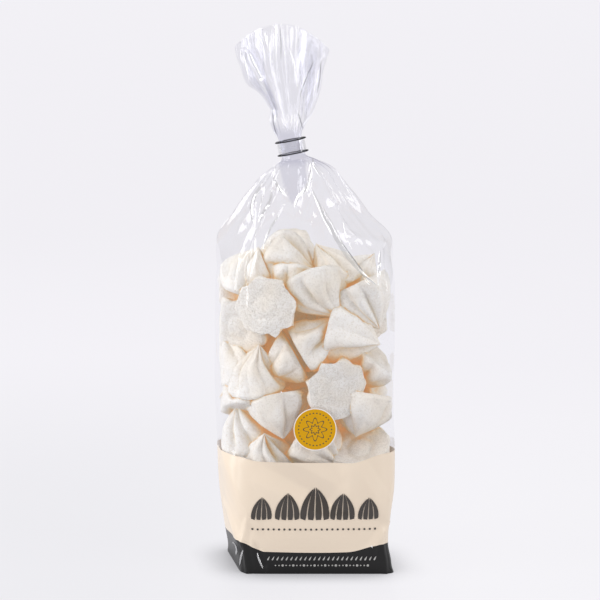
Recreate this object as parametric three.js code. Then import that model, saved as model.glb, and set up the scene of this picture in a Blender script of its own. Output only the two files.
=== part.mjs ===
// A clear block-bottom bag filled with small piped meringues, gathered at its neck and shut with a clip.
// Millimetres, +Z up, the bag's front towards -Y, the origin on the floor under the middle of the body.
// The filled bag is one solid out to its film: a flat bottom, an upright body, shoulders that narrow
// between four corner creases and two side folds into a neck, and above the clip an open frill of pleated
// film. A round sticker lies on its front, and a clear strip with two wires is wrapped round its neck.
import * as THREE from 'three';

// ---- The filled bag ----
const aroundCount = 72; // vertices in each ring of the film
const pleatCount = 10; // folds gathered round the neck
const pleatUnevenness = 0.26; // how far the pleats crowd together and spread apart, in radians
const pleatShift = 0.8; // where round the bag they crowd, in radians
const cornerCrowding = 0.12; // how far the vertices of a ring crowd into its four corners
const rowsPerSpan = 3; // rows of faces from one station to the next
const frillWall = 1.2; // far thicker than real film, so that the frill is a solid
const throatDepth = 2; // from the floor of the frill's hollow up to the first ring of its wall

// Stations up the bag. z and x place the middle of a section, and lean tips it towards -X in degrees.
// halfWidth and halfDepth are its half sizes, sharp is how sharp its corners are (2 an ellipse, 8 nearly
// square), panel is the share of its width that its flat front and back take up, with the sides coming to
// a fold between them, skew slides its back to the left, pleat is how deep its pleats cut, as a share of
// its size, and drop lowers the two ends of its width.
const columns = ['z', 'x', 'lean', 'halfWidth', 'halfDepth', 'sharp', 'panel', 'skew', 'pleat', 'drop'];
const bodyStations = [
  [0, 3.1, 0, 43.7, 28.4, 12, 1, 0.19, 0, 0],
  [6, 2.5, 0, 43.2, 29.2, 9.0, 1, 0.19, 0, 0],
  [24, 1.2, 0, 45.2, 30.8, 6.0, 1, 0.19, 0, 0],
  [52, 0.5, 0, 48.0, 32.2, 4.3, 1, 0.19, 0, 0],
  [96, 0.1, 0, 48.8, 32.6, 3.7, 1, 0.19, 0, 0],
  [146, 0, 0, 48.9, 32.3, 3.8, 1, 0.19, 0, 0],
  [166, 0.1, 0, 49.0, 30.8, 4.4, 0.97, 0.17, 0, 0],
];
const shoulderStations = [
  [178, 0.3, 0, 50.0, 27.0, 5.5, 0.82, 0.13, 0, 0],
  [189, 0.1, 0, 48.8, 22.4, 7.0, 0.62, 0.09, 0, 0],
  [201, -1.4, 0, 41.6, 17.2, 7.0, 0.52, 0.05, 0.02, 0],
  [213, -2.0, 1, 34.0, 12.4, 6.0, 0.48, 0.02, 0.06, 0],
  [225, -2.4, 4, 22.8, 7.8, 4.0, 0.5, 0, 0.14, 0],
  [230.4, -4.4, 8, 12.6, 5.4, 3.0, 0.7, 0, 0.16, 0],
];
const neckStations = [
  [233.8, -5.8, 11, 6.8, 3.6, 2.0, 1, 0, 0.1, 0],
  [244.2, -7.8, 11, 6.8, 3.6, 2.0, 1, 0, 0.1, 0],
];
const frillStations = [
  [249, -8.4, 10, 8.8, 4.6, 2.0, 1, 0, 0.18, 0.2],
  [258, -8.8, 6, 12.6, 6.4, 2.0, 1, 0, 0.28, 0.8],
  [272, -11.2, 3, 18.4, 9.6, 2.0, 1, 0, 0.4, 3.0],
  [290, -12.6, 1, 22.2, 12.2, 2.0, 1, 0, 0.46, 7.0],
  [307, -13.0, 0, 23.8, 13.8, 2.0, 1, 0, 0.48, 10.4],
];

// ---- The sticker ----
const stickerRadius = 12;
const stickerThickness = 0.25;
const stickerX = 6.2;
const stickerHeight = 84.3;
const stickerSides = 40;

// ---- The clip ----
const clipLean = 11.4; // degrees
const clipX = -6.8;
const clipZ = 239;
const stripHeight = 8.8;
const stripWall = 0.6;
const wireRadius = 0.35;
const wireSpacing = 7.3; // from the middle of one wire to the other's
const stripSlack = 0.5; // between the neck and the strip, where both are widest

const clearance = 0.3; // between neighbouring solids

// ---- Colours ----
const meringueCream = new THREE.MeshStandardMaterial({ color: 0xf1ebe2, roughness: 0.35, metalness: 0 });
const mustardPaper = new THREE.MeshStandardMaterial({ color: 0xc9951e, roughness: 0.5, metalness: 0 });
const clearStrip = new THREE.MeshStandardMaterial({ color: 0xd9d9de, roughness: 0.25, metalness: 0 });
const darkWire = new THREE.MeshStandardMaterial({ color: 0x3a3a40, roughness: 0.4, metalness: 0.3 });

const asRow = (values) => Object.fromEntries(columns.map((name, i) => [name, values[i]]));

// The value at share t of the way from b to c, on a smooth curve through a, b, c and d.
function throughFour(a, b, c, d, t) {
  const bend = 2 * a - 5 * b + 4 * c - d;
  const twist = 3 * b - a - 3 * c + d;
  return 0.5 * (2 * b + (c - a) * t + bend * t * t + twist * t * t * t);
}

// The stations with the rows between them filled in.
function smoothRows(stations) {
  const rows = [];
  for (let i = 0; i < stations.length - 1; i++) {
    const before = stations[Math.max(i - 1, 0)];
    const [here, next] = [stations[i], stations[i + 1]];
    const after = stations[Math.min(i + 2, stations.length - 1)];
    for (let k = 0; k < rowsPerSpan; k++) {
      rows.push(here.map((value, c) => throughFour(before[c], value, next[c], after[c], k / rowsPerSpan)));
    }
  }
  return [...rows, stations[stations.length - 1]].map(asRow);
}

// 0 on a pleat's ridge and 1 in the fold between two ridges, turn radians round the bag.
function foldAt(turn) {
  const crowded = turn + pleatUnevenness * Math.sin(2 * turn + pleatShift);
  const phase = (crowded * pleatCount) / Math.PI;
  return 1 - Math.abs((((phase % 2) + 2) % 2) - 1);
}

// A point of the bag's outline, inset mm inside it, turn radians round the ring of a row.
function ringPoint(row, turn, inset = 0) {
  const crowded = turn + cornerCrowding * Math.sin(4 * turn);
  const [c, s] = [Math.cos(crowded), Math.sin(crowded)];
  const toPanel = Math.abs(s);
  const toSide = Math.max(0, Math.abs(c) + (1 - row.panel) * toPanel);
  const reach = (toPanel ** row.sharp + toSide ** row.sharp) ** (1 / row.sharp);
  const size = (1 - row.pleat * foldAt(turn)) / reach;
  const outline = new THREE.Vector2(row.halfWidth * c, row.halfDepth * s).multiplyScalar(size);
  outline.setLength(outline.length() - inset);
  const wide = outline.x - row.skew * outline.y;
  const down = -row.drop * (wide / row.halfWidth) ** 2;
  const lean = THREE.MathUtils.degToRad(row.lean);
  return new THREE.Vector3(
    row.x + wide * Math.cos(lean) - down * Math.sin(lean),
    outline.y,
    row.z + wide * Math.sin(lean) + down * Math.cos(lean),
  );
}

const ringOf = (row, inset = 0) =>
  Array.from({ length: aroundCount }, (_, i) => ringPoint(row, (2 * Math.PI * i) / aroundCount, inset));

// A closed mesh through rings of equal length, shut by a point before the first and after the last.
function loftThroughRings(firstPoint, rings, lastPoint) {
  const count = rings[0].length;
  const points = [firstPoint, ...rings.flat(), lastPoint];
  const last = points.length - 1;
  const at = (ring, i) => 1 + ring * count + (i % count);
  const index = [];
  for (let i = 0; i < count; i++) {
    index.push(0, at(0, i + 1), at(0, i));
    index.push(last, at(rings.length - 1, i), at(rings.length - 1, i + 1));
    for (let ring = 0; ring < rings.length - 1; ring++) {
      index.push(at(ring, i), at(ring, i + 1), at(ring + 1, i + 1));
      index.push(at(ring, i), at(ring + 1, i + 1), at(ring + 1, i));
    }
  }
  const geometry = new THREE.BufferGeometry().setFromPoints(points);
  geometry.setIndex(index);
  geometry.computeVertexNormals();
  return geometry;
}

const bagRows = smoothRows([...bodyStations, ...shoulderStations, ...neckStations, ...frillStations]);

// Up the outside to the rim of the frill, then down the frill's inside to its closed throat above the clip.
function filledBag() {
  const throat = asRow(frillStations[0]);
  const bottom = new THREE.Vector3(bagRows[0].x, 0, 0);
  const outside = bagRows.map((row) => ringOf(row));
  const hollowRows = bagRows.filter((row) => row.z > throat.z + throatDepth).reverse();
  const inside = hollowRows.map((row) => ringOf(row, frillWall));
  return loftThroughRings(bottom, [...outside, ...inside], new THREE.Vector3(throat.x, 0, throat.z));
}

// The row at any height, between the two rows nearest to it.
function rowAt(z) {
  const i = bagRows.findIndex((row) => row.z > z);
  const [low, high] = [bagRows[i - 1], bagRows[i]];
  const share = (z - low.z) / (high.z - low.z);
  return asRow(columns.map((name) => THREE.MathUtils.lerp(low[name], high[name], share)));
}

// The point of the bag's front at x and z, moved out of the film by some millimetres.
function onFront(x, z, out) {
  const row = rowAt(z);
  let [left, right] = [Math.PI, 2 * Math.PI];
  for (let halving = 0; halving < 30; halving++) {
    const middle = (left + right) / 2;
    if (ringPoint(row, middle).x < x) left = middle;
    else right = middle;
  }
  return new THREE.Vector3(x, ringPoint(row, left).y - out, z);
}

// A thin round disc bent over the front of the body.
function bentSticker() {
  const back = clearance;
  const front = clearance + stickerThickness;
  const circle = (share, out) => Array.from({ length: stickerSides }, (_, i) => {
    const turn = (2 * Math.PI * i) / stickerSides;
    const radius = share * stickerRadius;
    return onFront(stickerX + radius * Math.cos(turn), stickerHeight + radius * Math.sin(turn), out);
  });
  const rings = [circle(0.5, back), circle(1, back), circle(1, front), circle(0.5, front)];
  const middle = (out) => onFront(stickerX, stickerHeight, out);
  return loftThroughRings(middle(back), rings, middle(front));
}

// The clear strip of the clip, an oval band round the neck.
function clipStrip(halfWidth, halfDepth) {
  const shape = new THREE.Shape();
  shape.absellipse(0, 0, halfWidth + stripWall, halfDepth + stripWall, 0, 2 * Math.PI);
  const hole = new THREE.Path();
  hole.absellipse(0, 0, halfWidth, halfDepth, 0, 2 * Math.PI);
  shape.holes.push(hole);
  const straightUp = { depth: stripHeight, bevelEnabled: false, curveSegments: 40 };
  return new THREE.ExtrudeGeometry(shape, straightUp).translate(0, 0, -stripHeight / 2);
}

// The middle line of a clip wire, a closed oval.
class Oval extends THREE.Curve {
  constructor(halfWidth, halfDepth) {
    super();
    this.halfWidth = halfWidth;
    this.halfDepth = halfDepth;
  }
  getPoint(t, target = new THREE.Vector3()) {
    const turn = 2 * Math.PI * t;
    return target.set(this.halfWidth * Math.cos(turn), this.halfDepth * Math.sin(turn), 0);
  }
}

const clipWire = (halfWidth, halfDepth) =>
  new THREE.TubeGeometry(new Oval(halfWidth, halfDepth), 40, wireRadius, 6, true);

function namedMesh(name, geometry, material) {
  const mesh = new THREE.Mesh(geometry, material);
  mesh.name = name;
  return mesh;
}

// The strip and its two wires, tipped as the neck leans.
function neckClip() {
  const clip = new THREE.Group();
  const neck = asRow(neckStations[0]);
  const [wide, deep] = [neck.halfWidth + stripSlack, neck.halfDepth + stripSlack];
  clip.add(namedMesh('clip_strip', clipStrip(wide, deep), clearStrip));
  const toWire = stripWall + clearance + wireRadius;
  for (const [name, side] of [['clip_wire_lower', -1], ['clip_wire_upper', 1]]) {
    const wire = namedMesh(name, clipWire(wide + toWire, deep + toWire), darkWire);
    wire.position.z = (side * wireSpacing) / 2;
    clip.add(wire);
  }
  clip.position.set(clipX, 0, clipZ);
  clip.rotation.y = -THREE.MathUtils.degToRad(clipLean);
  return clip;
}

const meringueBag = new THREE.Group();
meringueBag.add(namedMesh('bag', filledBag(), meringueCream));
meringueBag.add(namedMesh('sticker', bentSticker(), mustardPaper));
meringueBag.add(neckClip());

export default meringueBag;
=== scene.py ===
# %% [markdown]
# # A clear bag of little meringues, shut with a clip
#
# The bag is a tube of clear film with folded sides and a flat block bottom. It is filled with piped
# meringues, gathered at its neck, and shut with a strip that has two wires in it. Its foot is printed:
# a black band under a cream one. We start from the imported solids, which fix every size and place.

import math
import random
from collections import namedtuple

import bmesh
import bpy
import numpy as np
from mathutils import Matrix, Vector
from mathutils.bvhtree import BVHTree


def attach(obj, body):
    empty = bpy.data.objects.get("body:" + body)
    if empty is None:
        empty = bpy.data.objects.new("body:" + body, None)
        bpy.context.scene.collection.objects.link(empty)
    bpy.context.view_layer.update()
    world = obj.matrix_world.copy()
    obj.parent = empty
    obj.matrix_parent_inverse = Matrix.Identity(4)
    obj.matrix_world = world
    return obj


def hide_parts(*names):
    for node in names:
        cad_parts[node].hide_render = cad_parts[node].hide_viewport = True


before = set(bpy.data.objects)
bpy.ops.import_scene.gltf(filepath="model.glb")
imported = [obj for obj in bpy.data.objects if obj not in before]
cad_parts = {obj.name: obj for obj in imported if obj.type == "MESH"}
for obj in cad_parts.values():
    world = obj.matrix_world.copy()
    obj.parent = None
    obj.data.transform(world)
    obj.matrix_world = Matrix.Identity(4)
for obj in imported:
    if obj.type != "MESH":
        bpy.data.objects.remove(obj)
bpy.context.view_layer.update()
print("solids:", sorted(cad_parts))

MM = 0.001
scene = bpy.context.scene

# %% [markdown]
# ## Camera
# A long lens a good step away, a little above the table, gives the calm and nearly parallel view of a
# product picture. We aim the camera with a look-at: the direction to the target becomes its -Z axis.

# %% Camera
VIEW_ANGLE = 14.7  # degrees across the square picture
CAMERA_PLACE = Vector((-0.0022, -1.30, 0.36))
CAMERA_TARGET = Vector((-0.0022, 0.0, 0.152))


def look_at(thing, place, target):
    """Stands a camera or a lamp at place, looking at target."""
    thing.location = place
    thing.rotation_euler = (Vector(target) - Vector(place)).to_track_quat("-Z", "Y").to_euler()


camera_data = bpy.data.cameras.new("camera")
camera_data.sensor_width = 36
camera_data.lens = 18 / math.tan(math.radians(VIEW_ANGLE / 2))
camera_data.clip_end = 100
camera = bpy.data.objects.new("camera", camera_data)
scene.collection.objects.link(camera)
look_at(camera, CAMERA_PLACE, CAMERA_TARGET)
scene.camera = camera
print(f"camera with a {camera_data.lens:.0f} mm lens")

# %% [markdown]
# ## Small helpers
# Every mesh and every material here starts the same way, so these few functions save words later. A wave
# that rises and falls in straight lines makes creases, and a smooth rise lets an effect fade in between
# two heights. A Paint adds nodes to a tree, and links or sets their inputs by name.

# %% Helpers for shapes
def rise(value, start, end):
    """0 up to start, 1 from end on, and smooth between them."""
    share = np.clip((value - start) / (end - start), 0, 1)
    return share * share * (3 - 2 * share)


def between(value, start, full_from, full_to, end):
    """1 from full_from to full_to, fading out to start and to end."""
    return rise(value, start, full_from) * (1 - rise(value, full_to, end))


def crest_wave(count):
    """1 where count is whole, 0 half way between, with straight flanks."""
    return 1 - 2 * np.abs(count - np.round(count))


def steps(low, high, step):
    """Numbers from low to high, about a step apart."""
    return np.linspace(low, high, round((high - low) / step) + 1)


def new_object(name, mesh, material):
    mesh.materials.append(material)
    thing = bpy.data.objects.new(name, mesh)
    scene.collection.objects.link(thing)
    return thing


def mesh_from(bm, name, smooth=True):
    mesh = bpy.data.meshes.new(name)
    bm.to_mesh(mesh)
    bm.free()
    if smooth:
        mesh.shade_smooth()
    return mesh


# %% Helpers for materials
class Paint:
    """Adds to a node tree. A value is a number, a colour, a vector or another node's output."""

    def __init__(self, tree):
        self.nodes = tree.nodes
        self.link = tree.links.new

    def join(self, value, socket):
        if isinstance(value, bpy.types.NodeSocket):
            self.link(value, socket)
        elif socket.type == "RGBA":
            socket.default_value = (*value, 1)
        else:
            socket.default_value = value

    def feed(self, node, **inputs):
        """Links or sets inputs of a node by their names, in which _ stands for a space."""
        for name, value in inputs.items():
            self.join(value, node.inputs[name.replace("_", " ")])

    def add(self, kind, **inputs):
        node = self.nodes.new("ShaderNode" + kind)
        self.feed(node, **inputs)
        return node

    def place(self):
        return self.add("TexCoord").outputs["Object"]

    def attribute(self, name):
        node = self.add("Attribute")
        node.attribute_name = name
        return node.outputs["Fac"]

    def noise(self, place, scale, detail=2.0, roughness=0.5):
        node = self.add("TexNoise", Vector=place, Scale=scale, Detail=detail, Roughness=roughness)
        return node.outputs["Fac"]

    def math(self, operation, first, second=0.5):
        node = self.add("Math")
        node.operation = operation
        self.join(first, node.inputs[0])
        self.join(second, node.inputs[1])
        return node.outputs[0]

    def in_range(self, value, low, high, to_low=0.0, to_high=1.0, smooth=True):
        node = self.add("MapRange", Value=value, From_Min=low, From_Max=high, To_Min=to_low, To_Max=to_high)
        node.interpolation_type = "SMOOTHSTEP" if smooth else "LINEAR"
        return node.outputs["Result"]

    def mix(self, share, first, second, blend="MIX"):
        node = self.add("Mix")
        node.data_type = "RGBA"
        node.blend_type = blend
        self.feed(node, Factor=share, A=first, B=second)
        return node.outputs["Result"]

    def mix_shaders(self, share, first, second):
        node = self.add("MixShader", Fac=share)
        self.link(first.outputs[0], node.inputs[1])
        self.link(second.outputs[0], node.inputs[2])
        return node.outputs[0]

    def bump(self, height, strength, distance):
        return self.add("Bump", Height=height, Strength=strength, Distance=distance).outputs["Normal"]


def new_material(name):
    """A material, the Paint that adds to it and its Principled shader."""
    material = bpy.data.materials.new(name)
    material.use_nodes = True
    return material, Paint(material.node_tree), material.node_tree.nodes["Principled BSDF"]


# %% [markdown]
# ## Light
# Clear film shows only what it mirrors, so the lamps matter more than usual: big soft panels at both
# sides give it bright edges and streaks, and the dimmer room in front leaves the flat faces clear. The
# stronger panel is on the left. The camera doesn't see the lamps themselves. The world has two colours:
# rays from the camera meet a plain pale backdrop, and all other rays meet a dimmer room.

# %% Lamps and room
Lamp = namedtuple("Lamp", "name place wide high watts")
LAMPS = (
    Lamp("left_panel", (-0.95, -0.25, 0.45), 0.45, 1.0, 6.0),
    Lamp("left_front_panel", (-0.75, -0.80, 0.40), 0.26, 0.9, 3.0),
    Lamp("right_panel", (0.95, -0.30, 0.50), 0.30, 0.9, 2.9),
    Lamp("right_strip", (0.80, -0.65, 0.45), 0.14, 0.8, 2.0),
    Lamp("front_strip", (-0.42, -0.78, 0.98), 0.30, 0.07, 0.35),
    Lamp("top_panel", (0.05, -0.10, 1.25), 0.8, 0.7, 2.8),
    Lamp("back_panel", (-0.35, 0.95, 0.75), 0.9, 0.6, 3.0),
)
LAMP_TARGET = (0, 0, 0.13)
BACKDROP = (0.905, 0.885, 0.935)
ROOM = (0.41, 0.405, 0.41)


def panel_lamp(lamp):
    data = bpy.data.lights.new(lamp.name, "AREA")
    data.shape = "RECTANGLE"
    data.size = lamp.wide
    data.size_y = lamp.high
    data.energy = lamp.watts
    thing = bpy.data.objects.new(lamp.name, data)
    thing.visible_camera = False
    scene.collection.objects.link(thing)
    look_at(thing, lamp.place, LAMP_TARGET)


def pale_room():
    world = bpy.data.worlds.new("room")
    world.use_nodes = True
    paint = Paint(world.node_tree)
    paint.nodes.clear()
    from_camera = paint.add("LightPath").outputs["Is Camera Ray"]
    room = paint.add("Background", Color=ROOM)
    backdrop = paint.add("Background", Color=BACKDROP)
    paint.add("OutputWorld", Surface=paint.mix_shaders(from_camera, room, backdrop))
    return world


for lamp in LAMPS:
    panel_lamp(lamp)
scene.world = pale_room()
scene.view_settings.view_transform = "Standard"
scene.cycles.transparent_max_bounces = 40
scene.cycles.diffuse_bounces = 6
scene.cycles.glossy_bounces = 6
scene.cycles.max_bounces = 14
print("lamps:", len(LAMPS))

# %% [markdown]
# ## Floor
# The bag stands on a plain pale sheet. It is much wider than the picture, so that its far edge never
# shows. Light of its own keeps it as pale far away as near the lamps, with less of it for the soft light
# that it throws up at the bag. This would wash out the narrow shadow round the bag's foot, so it fades
# The sheet is nearly matte, or the lamps would show in it as white panes. In front of the bag its own light
# is a little dimmer on the left, as a painted shadow.

# %% Floor
FLOOR_RADIUS = 30.0
FLOOR_LIGHT = 0.85  # the floor's own light for the camera
FLOOR_LIGHT_ON_BAG = 0.60
SHADE_REACH = 0.024  # metres from the bag over which the floor's own light is hidden
SHADE_RAYS = 8


def floor_material():
    material, paint, shader = new_material("pale_floor")
    place = paint.place()
    paper = paint.mix(paint.noise(place, 6.0), (0.05, 0.049, 0.052), (0.056, 0.055, 0.058))
    on_bag = paint.add("LightPath").outputs["Is Diffuse Ray"]
    own_light = paint.in_range(on_bag, 0, 1, FLOOR_LIGHT, FLOOR_LIGHT_ON_BAG, smooth=False)
    corner = paint.add("AmbientOcclusion", Distance=SHADE_REACH)
    corner.samples = SHADE_RAYS
    lit = paint.in_range(corner.outputs["AO"], 0.0, 0.95, 0.1, 1.0, smooth=False)
    axes = paint.add("SeparateXYZ", Vector=place).outputs
    # Painted shadow: near the front of the bag the floor's own light is dimmer on the left.
    near = paint.mix(paint.in_range(axes["X"], -0.14, 0.12), (0.875, 0.87, 0.905), (0.975, 0.965, 1.0))
    away = paint.in_range(axes["Y"], 0.05, 0.7)
    paint.feed(
        shader,
        Base_Color=paper,
        Roughness=0.5,
        Specular_IOR_Level=0.1,
        Emission_Color=paint.mix(away, near, (0.96, 0.945, 0.99)),
        Emission_Strength=paint.math("MULTIPLY", own_light, lit),
    )
    return material


def pale_floor():
    bm = bmesh.new()
    bmesh.ops.create_circle(bm, cap_ends=True, radius=FLOOR_RADIUS, segments=64)
    return new_object("floor", mesh_from(bm, "floor", smooth=False), floor_material())


pale_floor()
print("floor made")

# %% [markdown]
# ## The shape of the bag
# The film, the printed bands and the heap inside all follow one surface, so we describe it once. Each
# station is a slice across the bag: where it lies, how wide and deep it is, how sharp its corners are and
# how deep its pleats cut. A smooth curve through the stations fills in the heights between them.

# %% Stations up the bag
COLUMNS = ("z", "x", "lean", "half_width", "half_depth", "sharp", "panel", "skew", "pleat", "drop")
STATIONS = (
    (0, 3.1, 0, 43.7, 28.4, 12, 1, 0.19, 0, 0),
    (6, 2.5, 0, 43.2, 29.2, 9.0, 1, 0.19, 0, 0),
    (24, 1.2, 0, 45.2, 30.8, 6.0, 1, 0.19, 0, 0),
    (52, 0.5, 0, 48.0, 32.2, 4.3, 1, 0.19, 0, 0),
    (96, 0.1, 0, 48.8, 32.6, 3.7, 1, 0.19, 0, 0),
    (146, 0, 0, 48.9, 32.3, 3.8, 1, 0.19, 0, 0),
    (166, 0.1, 0, 49.0, 30.8, 4.4, 0.97, 0.17, 0, 0),
    (178, 0.3, 0, 50.0, 27.0, 5.5, 0.82, 0.13, 0, 0),
    (189, 0.1, 0, 48.8, 22.4, 7.0, 0.62, 0.09, 0, 0),
    (201, -1.4, 0, 41.6, 17.2, 7.0, 0.52, 0.05, 0.02, 0),
    (213, -2.0, 1, 34.0, 12.4, 6.0, 0.48, 0.02, 0.06, 0),
    (225, -2.4, 4, 22.8, 7.8, 4.0, 0.5, 0, 0.14, 0),
    (230.4, -4.4, 8, 12.6, 5.4, 3.0, 0.7, 0, 0.16, 0),
    (233.8, -5.8, 11, 6.8, 3.6, 2.0, 1, 0, 0.1, 0),
    (244.2, -7.8, 11, 6.8, 3.6, 2.0, 1, 0, 0.1, 0),
    (249, -8.4, 10, 8.8, 4.6, 2.0, 1, 0, 0.18, 0.2),
    (258, -8.8, 6, 12.6, 6.4, 2.0, 1, 0, 0.28, 0.8),
    (272, -11.2, 3, 18.4, 9.6, 2.0, 1, 0, 0.4, 3.0),
    (290, -12.6, 1, 22.2, 12.2, 2.0, 1, 0, 0.46, 7.0),
    (307, -13.0, 0, 23.8, 13.8, 2.0, 1, 0, 0.48, 10.4),
)
Section = namedtuple("Section", COLUMNS)
ROWS_PER_SPAN = 30


def smooth_table(stations, rows):
    """The stations with rows more between each two, on a smooth curve through them."""
    points = np.array(stations, float)
    padded = np.vstack([points[:1], points, points[-1:]])
    before, here, after, beyond = padded[:-3], padded[1:-2], padded[2:-1], padded[3:]
    share = (np.arange(rows) / rows)[None, :, None]
    before, here, after, beyond = (p[:, None, :] for p in (before, here, after, beyond))
    bend = 2 * before - 5 * here + 4 * after - beyond
    twist = 3 * here - before - 3 * after + beyond
    curve = 0.5 * (2 * here + (after - before) * share + bend * share**2 + twist * share**3)
    return np.vstack([curve.reshape(-1, points.shape[1]), points[-1:]])


BAG_TABLE = smooth_table(STATIONS, ROWS_PER_SPAN)


def section_at(z):
    """The slice of the bag at a height in millimetres, or at many heights at once."""
    return Section(z, *(np.interp(z, BAG_TABLE[:, 0], BAG_TABLE[:, i]) for i in range(1, len(COLUMNS))))


print("slices in the table:", len(BAG_TABLE))

# %% [markdown]
# ## Creases and wrinkles in the film
# Stiff film doesn't drape like cloth: it folds in straight creases with flat facets between them. The
# bag has four corner creases that run up into the neck, a fan of small folds where it is gathered, and
# sharp pinches at the corners of its foot. Each is a ridge whose height falls away on both sides, and we
# add them all to the smooth surface.

# %% Relief of the film
PLEATS = 10
PLEAT_UNEVENNESS = 0.26
PLEAT_SHIFT = 0.8
CORNER_CROWDING = 0.12
STICKER_X = 6.2
STICKER_Z = 84.3
STICKER_RADIUS = 12.0

Crease = namedtuple("Crease", "x0 z0 x1 z1 height width")
FRONT_CREASES = (
    Crease(-31, -2, -33.5, 19, 1.6, 2.4),
    Crease(-23, 5, -26.5, 15, -1.6, 3.0),
    Crease(-44.8, 34, -37, 19, 1.4, 3.5),
    Crease(-34, 20, -31.5, 30, 1.2, 3.0),
    Crease(45.5, 0, 45, 17, 1.2, 2.4),
    Crease(38, 13, 46, 24, 1.2, 4.0),
    Crease(-25.6, 64, 14.6, 43, -2.8, 10.0),
    Crease(-42, 60, -30, 36, 2.2, 8.0),
    Crease(17, 66, 21, 54, -1.0, 6.0),
    Crease(28, 62, 42, 40, 1.4, 9.0),
    Crease(-30, 170.7, -25.5, 189, 1.4, 3.0),
    Crease(-25.5, 189, -19, 202.5, 1.6, 3.0),
    Crease(-19, 202.5, -8, 224, 1.6, 2.8),
    Crease(-12, 210.5, -23.3, 189, -1.6, 3.0),
    Crease(41.4, 169.6, 22.7, 192, 2.8, 3.0),
    Crease(37.5, 167, 18.6, 190, -1.4, 2.6),
    Crease(22.7, 192, 14.5, 208, 2.8, 3.0),
    Crease(14.5, 208, 1, 233, 2.6, 2.8),
    Crease(22.7, 192, 43, 186.6, 1.2, 2.6),
    Crease(43, 187, 42, 171, 1.2, 2.4),
    Crease(-22, 222, -35, 196, 1.2, 3.0),
    Crease(-49, 120, -46, 168, 0.6, 3.0),
    Crease(-38, 158, -36, 178, 0.8, 2.6),
    Crease(-10, 250, -31, 300, 1.4, 2.2),
    Crease(-9, 250, -22, 306, -1.4, 2.0),
    Crease(-8, 250, -12, 307, 1.4, 2.2),
    Crease(-7, 250, -4, 307, -1.2, 2.0),
    Crease(-6, 250, 6, 300, 1.4, 2.2),
)
BACK_CREASES = (
    Crease(30, 168, 14, 212, 1.6, 3.0),
    Crease(-38, 170, -20, 208, 1.6, 3.0),
    Crease(-40, 186, -20, 198, 1.0, 2.6),
    Crease(26, 199, 44, 188, 1.0, 2.6),
    Crease(20, 150, 34, 176, 0.8, 4.0),
    Crease(-10, 176, 6, 214, 1.2, 3.0),
    Crease(-30, 0, -34, 16, 1.2, 2.8),
    Crease(34, 0, 38, 18, 1.2, 2.8),
    Crease(-30, 62, 10, 36, -1.6, 10.0),
    Crease(36, 60, 20, 34, 1.2, 8.0),
    Crease(-10, 250, -27, 304, 1.2, 2.2),
    Crease(-8, 250, -15, 307, -1.2, 2.2),
    Crease(-7, 250, 2, 304, 1.2, 2.2),
)
Pucker = namedtuple("Pucker", "x z wide tall height")
PUCKERS = (
    Pucker(-12.2, 216, 2.6, 8, 1.9),
    Pucker(0.5, 219, 2.6, 11, 2.1),
    Pucker(-27, 208, 2.5, 11, 1.8),
    Pucker(-7, 207, 4, 5, -1.4),
    Pucker(-20, 215, 2.2, 7, -1.4),
    Pucker(8, 200, 3.5, 9, 1.2),
    Pucker(27, 196, 6, 8, 1.3),
)


def crease_relief(creases, x, z):
    """How far the creases lift the film at x and z."""
    total = np.zeros_like(x)
    for crease in creases:
        along_x, along_z = crease.x1 - crease.x0, crease.z1 - crease.z0
        length = math.hypot(along_x, along_z)
        share = ((x - crease.x0) * along_x + (z - crease.z0) * along_z) / length**2
        aside = np.abs((x - crease.x0) * along_z - (z - crease.z0) * along_x) / length
        over_ends = np.abs(share - np.clip(share, 0, 1)) * length
        total += crease.height * np.maximum(0, 1 - (aside + 0.5 * over_ends) / crease.width)
    return total


def pucker_relief(x, z):
    """Short rounded folds under the clip, where the film is drawn together."""
    total = np.zeros_like(x)
    for pucker in PUCKERS:
        away = ((x - pucker.x) / pucker.wide) ** 2 + ((z - pucker.z) / pucker.tall) ** 2
        total += pucker.height * np.exp(-away)
    return total


def side_relief(crowded, z):
    """The foot is drawn in at the right, the sides of the cone run straight, and the frill opens wide."""
    at_sides = np.abs(np.cos(crowded)) ** 2
    foot = -2.8 * at_sides * (np.cos(crowded) > 0) * between(z, 5, 17, 24, 50)
    cone = -2.2 * at_sides * between(z, 190, 203, 216, 229)
    left = 1.2 * rise(z, 272, 282) + 1.4 * rise(z, 290, 306) - 4.2 * between(z, 254, 262, 268, 279)
    right = 1.2 * rise(z, 248, 254) + 0.8 * rise(z, 262, 275) + 1.6 * rise(z, 290, 306)
    return foot + cone + at_sides * np.where(np.cos(crowded) > 0, right, left)


def corner_relief(section, crowded, z):
    """The ridge along each of the four corners of the bag, from its body up into its neck."""
    corner = np.arctan2(1, section.panel)
    nearest = np.abs(np.abs(np.abs(crowded) - math.pi / 2) - (math.pi / 2 - corner))
    radius = 0.5 * (section.half_width + section.half_depth)
    return 1.2 * between(z, 120, 172, 222, 232) * np.maximum(0, 1 - nearest * radius / 3.0)


def gather_relief(turn, z):
    """The fan of small folds between the shoulders and the neck, and again in the frill."""
    cone = between(z, 172, 216, 224, 232)
    frill = rise(z, 246, 268)
    broad = crest_wave(turn * 9 / math.tau + 0.35 * np.sin(2 * turn + 1.0) + 0.1)
    fine = crest_wave(turn * 17 / math.tau + 0.5 * np.sin(turn + 0.4) + 0.02 * z)
    return cone * (1.0 * broad + 0.35 * fine - 0.7) + frill * (0.9 * fine + 0.9 * broad - 0.8)


def body_relief(turn, z):
    """Slack film is never quite flat: long shallow waves over the body, and still softer ones at the foot."""
    waves = np.sin(3 * turn + 0.045 * z + 0.7) + 0.7 * np.sin(7 * turn - 0.07 * z + 2.0)
    waves += 0.5 * np.sin(11 * turn + 0.11 * z + 4.1)
    return 0.22 * waves * between(z, 4, 30, 165, 185)


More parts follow.
